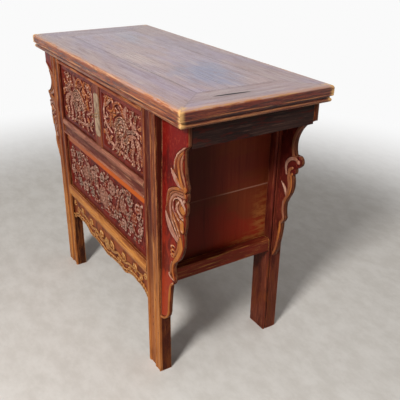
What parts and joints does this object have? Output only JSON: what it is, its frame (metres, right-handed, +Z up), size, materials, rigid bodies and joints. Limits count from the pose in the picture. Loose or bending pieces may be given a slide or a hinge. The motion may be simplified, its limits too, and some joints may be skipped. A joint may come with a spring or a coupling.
{
  "type": "chinese altar table",
  "caption": "Lacquered altar table with a mitred moulded top, carved pivot doors over a carved panel, a cusped apron and scrolled wing spandrels; holds things on top and in its cupboard.",
  "frame": {"origin": "on the floor, below the centre of the top", "axes": "+X to the right along the front, +Y to the back, +Z up; the doors face -Y"},
  "size_m": [1.05, 0.454, 0.852],
  "materials": {
    "top_lacquer": "worn satin lacquer",
    "frame_lacquer": "worn satin lacquer",
    "carved_lacquer": "worn satin lacquer",
    "board_lacquer": "satin lacquer",
    "bare_wood": "matt, dry",
    "aged_brass": "dull, aged"
  },
  "bodies": {
    "frame": {"top_panel": "top_lacquer", "top_rail_front": "top_lacquer", "top_rail_back": "top_lacquer", "top_end_left": "top_lacquer", "top_end_right": "top_lacquer", "leg_front_left": "frame_lacquer", "leg_front_right": "frame_lacquer", "leg_back_left": "frame_lacquer", "leg_back_right": "frame_lacquer", "front_top_rail": "frame_lacquer", "front_mid_rail": "frame_lacquer", "front_lower_rail": "frame_lacquer", "centre_post": "frame_lacquer", "side_lower_rail_left": "frame_lacquer", "side_lower_rail_right": "frame_lacquer", "side_upper_rail_left": "frame_lacquer", "side_upper_rail_right": "frame_lacquer", "back_lower_rail": "frame_lacquer", "back_upper_rail": "frame_lacquer", "carved_panel": "carved_lacquer", "apron": "carved_lacquer", "wing_front_left": "carved_lacquer", "wing_front_right": "carved_lacquer", "wing_back_left": "carved_lacquer", "wing_back_right": "carved_lacquer", "side_lower_board_left": "board_lacquer", "side_lower_board_right": "board_lacquer", "side_upper_board_left": "board_lacquer", "side_upper_board_right": "board_lacquer", "end_board_left": "board_lacquer", "end_board_right": "board_lacquer", "back_lower_board": "bare_wood", "back_upper_board": "bare_wood", "carcase_floor": "bare_wood", "lock_plate": "aged_brass", "lock_eye": "aged_brass"},
    "left_door": {"door_left": "carved_lacquer"},
    "right_door": {"door_right": "carved_lacquer"}
  },
  "joints": [
    {"name": "left_door_pivot", "type": "hinge", "parent": "frame", "child": "left_door", "pos_m": [-0.2965, -0.201, 0.695], "axis": [0, 0, -1], "range_deg": [0, 90]},
    {"name": "right_door_pivot", "type": "hinge", "parent": "frame", "child": "right_door", "pos_m": [0.2965, -0.201, 0.695], "axis": [0, 0, 1], "range_deg": [0, 90]}
  ]
}
